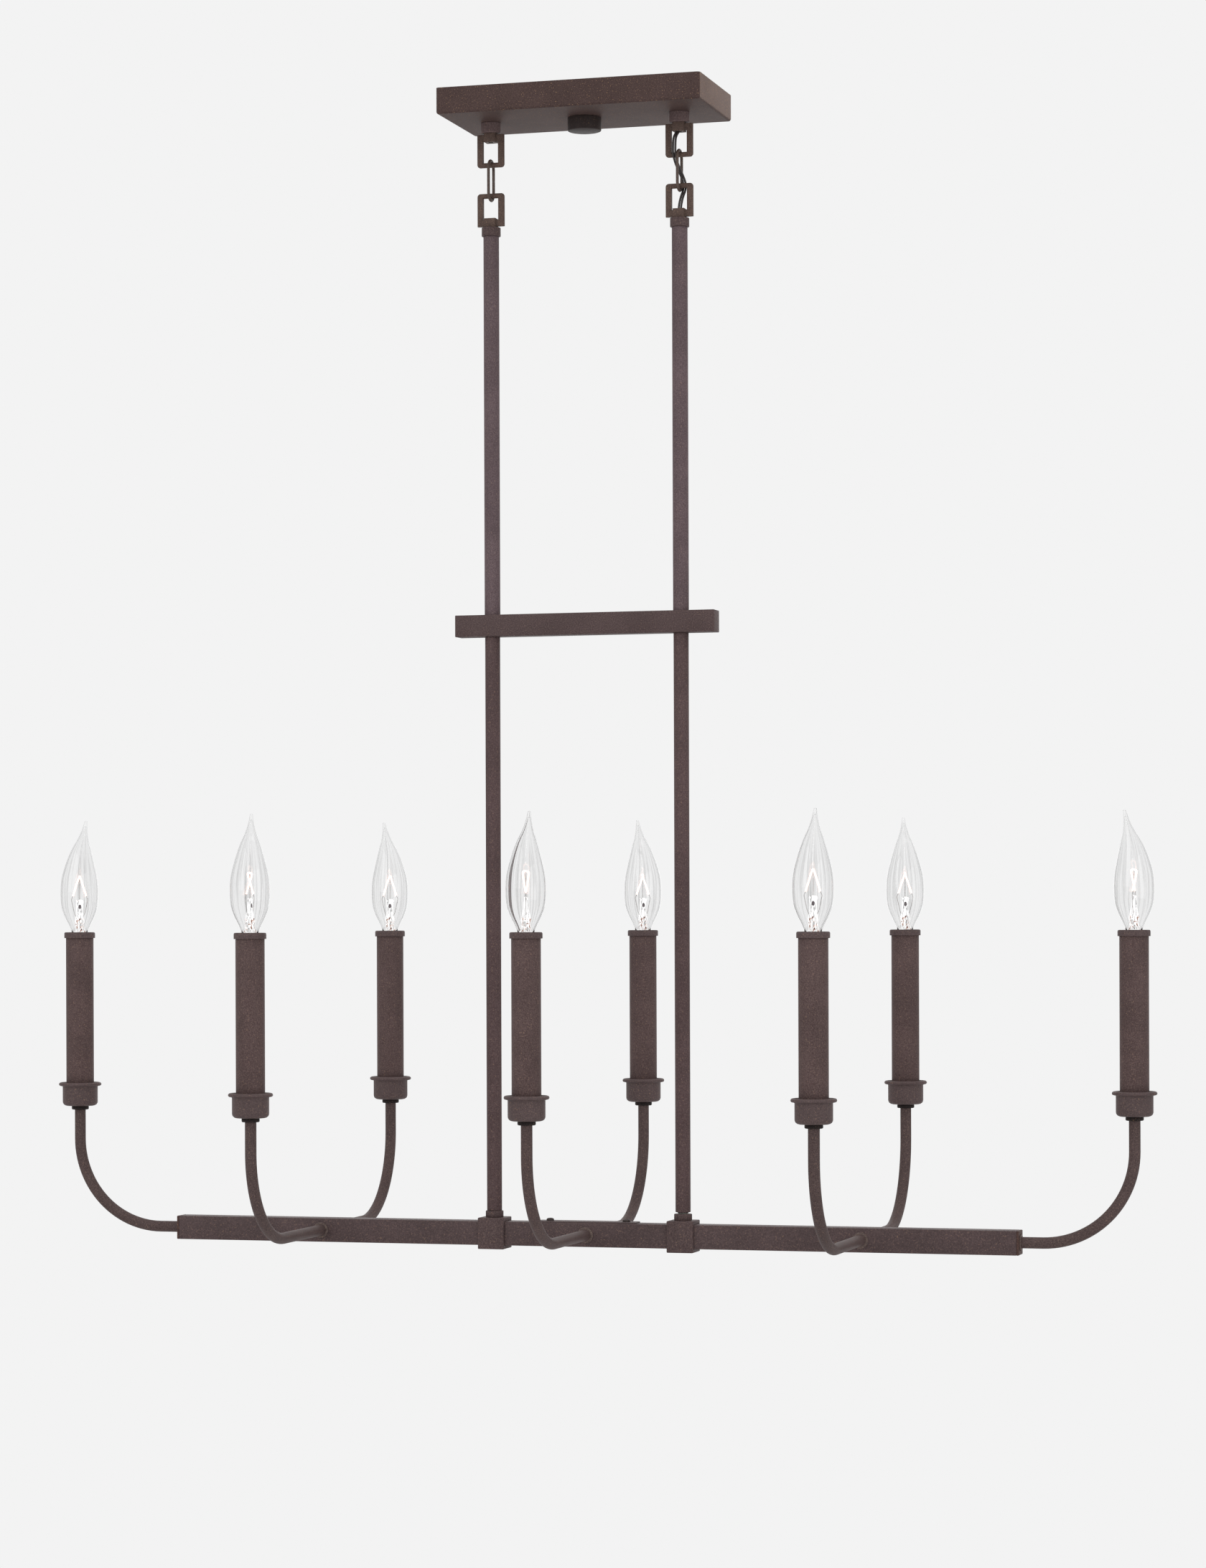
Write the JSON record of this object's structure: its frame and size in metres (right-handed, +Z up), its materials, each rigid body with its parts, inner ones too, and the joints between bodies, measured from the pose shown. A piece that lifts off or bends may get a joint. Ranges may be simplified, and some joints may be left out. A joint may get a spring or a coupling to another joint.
{
  "type": "linear island pendant",
  "caption": "Linear island pendant: rectangular canopy, chain links and rods tied by a crossbar, and a long bar whose curved tube arms carry candle sleeves and flame bulbs.",
  "frame": {"origin": "centre of the canopy's ceiling face, between the two box-screw slots", "axes": "+X along the main bar to the right, -Y towards the front, +Z up into the ceiling"},
  "size_m": [1.0502, 0.422, 1.0667],
  "materials": {
    "bronze_paint": "satin",
    "bright_steel": "satin",
    "zinc_steel": "satin",
    "earth_green": "gloss",
    "bulb_glass": "gloss",
    "mount_glass": "gloss",
    "brass": "satin",
    "socket_plastic": "matte",
    "wire_sheath": "satin",
    "terminal_plastic": "satin"
  },
  "bodies": {
    "canopy_mount": {"mounting_strap": "zinc_steel", "canopy": "bronze_paint", "canopy_nipple": "zinc_steel", "canopy_cap_nut": "bronze_paint", "canopy_lock_nuts": "zinc_steel", "ferrules": "bronze_paint", "ferrule_stems": "zinc_steel", "earth_screw": "earth_green", "canopy_loops": "bronze_paint", "terminal_block": "terminal_plastic", "supply_wire_upper": "wire_sheath"},
    "link_left": {"link_left": "bronze_paint"},
    "link_right": {"link_right": "bronze_paint"},
    "fixture": {"arm_washers": "bronze_paint", "back_arms": "bronze_paint", "bar_end_plates": "bronze_paint", "bar_lock_nuts": "zinc_steel", "bulb_bases": "brass", "bulb_mounts": "mount_glass", "bulbs": "bulb_glass", "candle_cups": "bronze_paint", "candle_sleeves": "bronze_paint", "cover_plate": "bronze_paint", "cover_screws": "bronze_paint", "crossbar": "bronze_paint", "cup_feet": "bronze_paint", "end_arms": "bronze_paint", "foot_collars": "bronze_paint", "foot_nipples": "bright_steel", "front_arms": "bronze_paint", "lamp_sockets": "socket_plastic", "lower_rod_left": "bronze_paint", "lower_rod_right": "bronze_paint", "main_bar": "bronze_paint", "rod_collars": "bronze_paint", "rod_couplers": "zinc_steel", "rod_loop_stems": "zinc_steel", "rod_loops": "bronze_paint", "saddle_left": "bronze_paint", "saddle_right": "bronze_paint", "sleeve_rings": "bronze_paint", "socket_stems": "zinc_steel", "supply_wire_lower": "wire_sheath", "upper_rod_left": "bronze_paint", "upper_rod_right": "bronze_paint"}
  },
  "joints": [
    {"name": "link_right_swing", "type": "hinge", "parent": "canopy_mount", "child": "link_right", "pos_m": [0.0904, 0, -0.06295], "axis": [1, 0, 0], "range_deg": [-45, 45], "deforming": ["supply_wire_upper"]},
    {"name": "fixture_swing", "type": "hinge", "parent": "link_right", "child": "fixture", "pos_m": [0.0904, 0, -0.09145], "axis": [1, 0, 0], "range_deg": [-25, 25], "deforming": ["supply_wire_lower"]},
    {"name": "link_left_swing", "type": "hinge", "parent": "canopy_mount", "child": "link_left", "pos_m": [-0.0904, 0, -0.06295], "axis": [1, 0, 0], "range_deg": [-45, 45]}
  ],
  "couplings": [
    {"joint": "link_left_swing", "follows": "link_right_swing", "ratio": 1}
  ]
}
